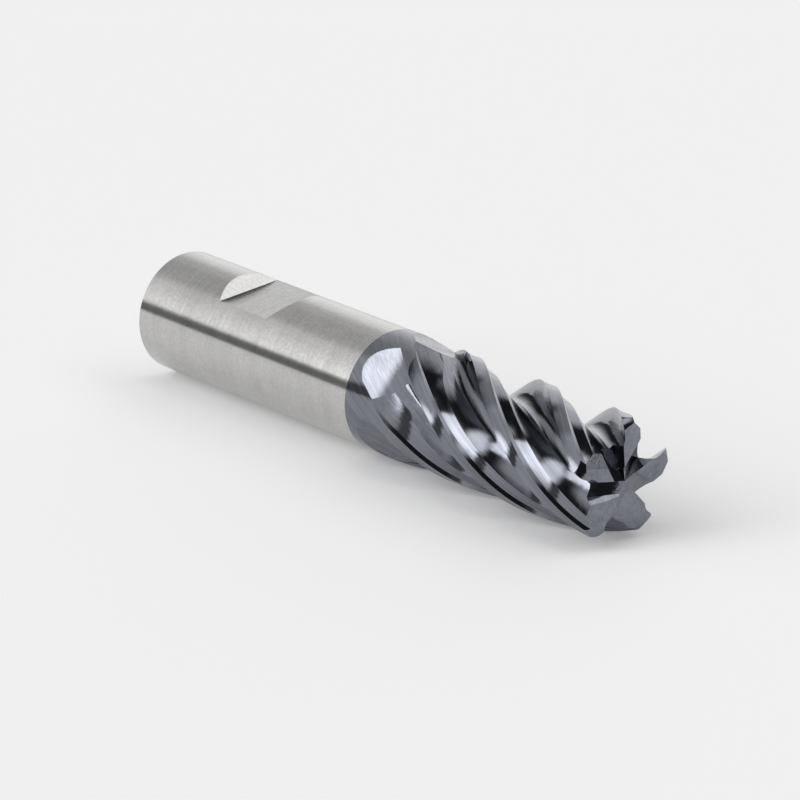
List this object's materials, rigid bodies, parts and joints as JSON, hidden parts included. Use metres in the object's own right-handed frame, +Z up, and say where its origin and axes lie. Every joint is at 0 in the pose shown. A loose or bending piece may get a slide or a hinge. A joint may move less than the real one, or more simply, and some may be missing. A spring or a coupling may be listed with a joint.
{
  "type": "end mill",
  "caption": "Square-shouldered milling cutter with a plain ground shank carrying one clamping flat, and a coated head with right-hand helical flutes and rounded corners.",
  "frame": {"origin": "centre of the shank's flat back face, on the tool's axis", "axes": "+X along the tool's axis from the shank's back face to the cutting tip, +Z up with the tool lying on its side, clamping flat facing up"},
  "size_m": [0.1015, 0.019, 0.019],
  "materials": {
    "ground_carbide": "satin",
    "coated_carbide": "polished"
  },
  "bodies": {
    "root": {"shank": "ground_carbide", "cutting_head": "coated_carbide"}
  },
  "joints": []
}
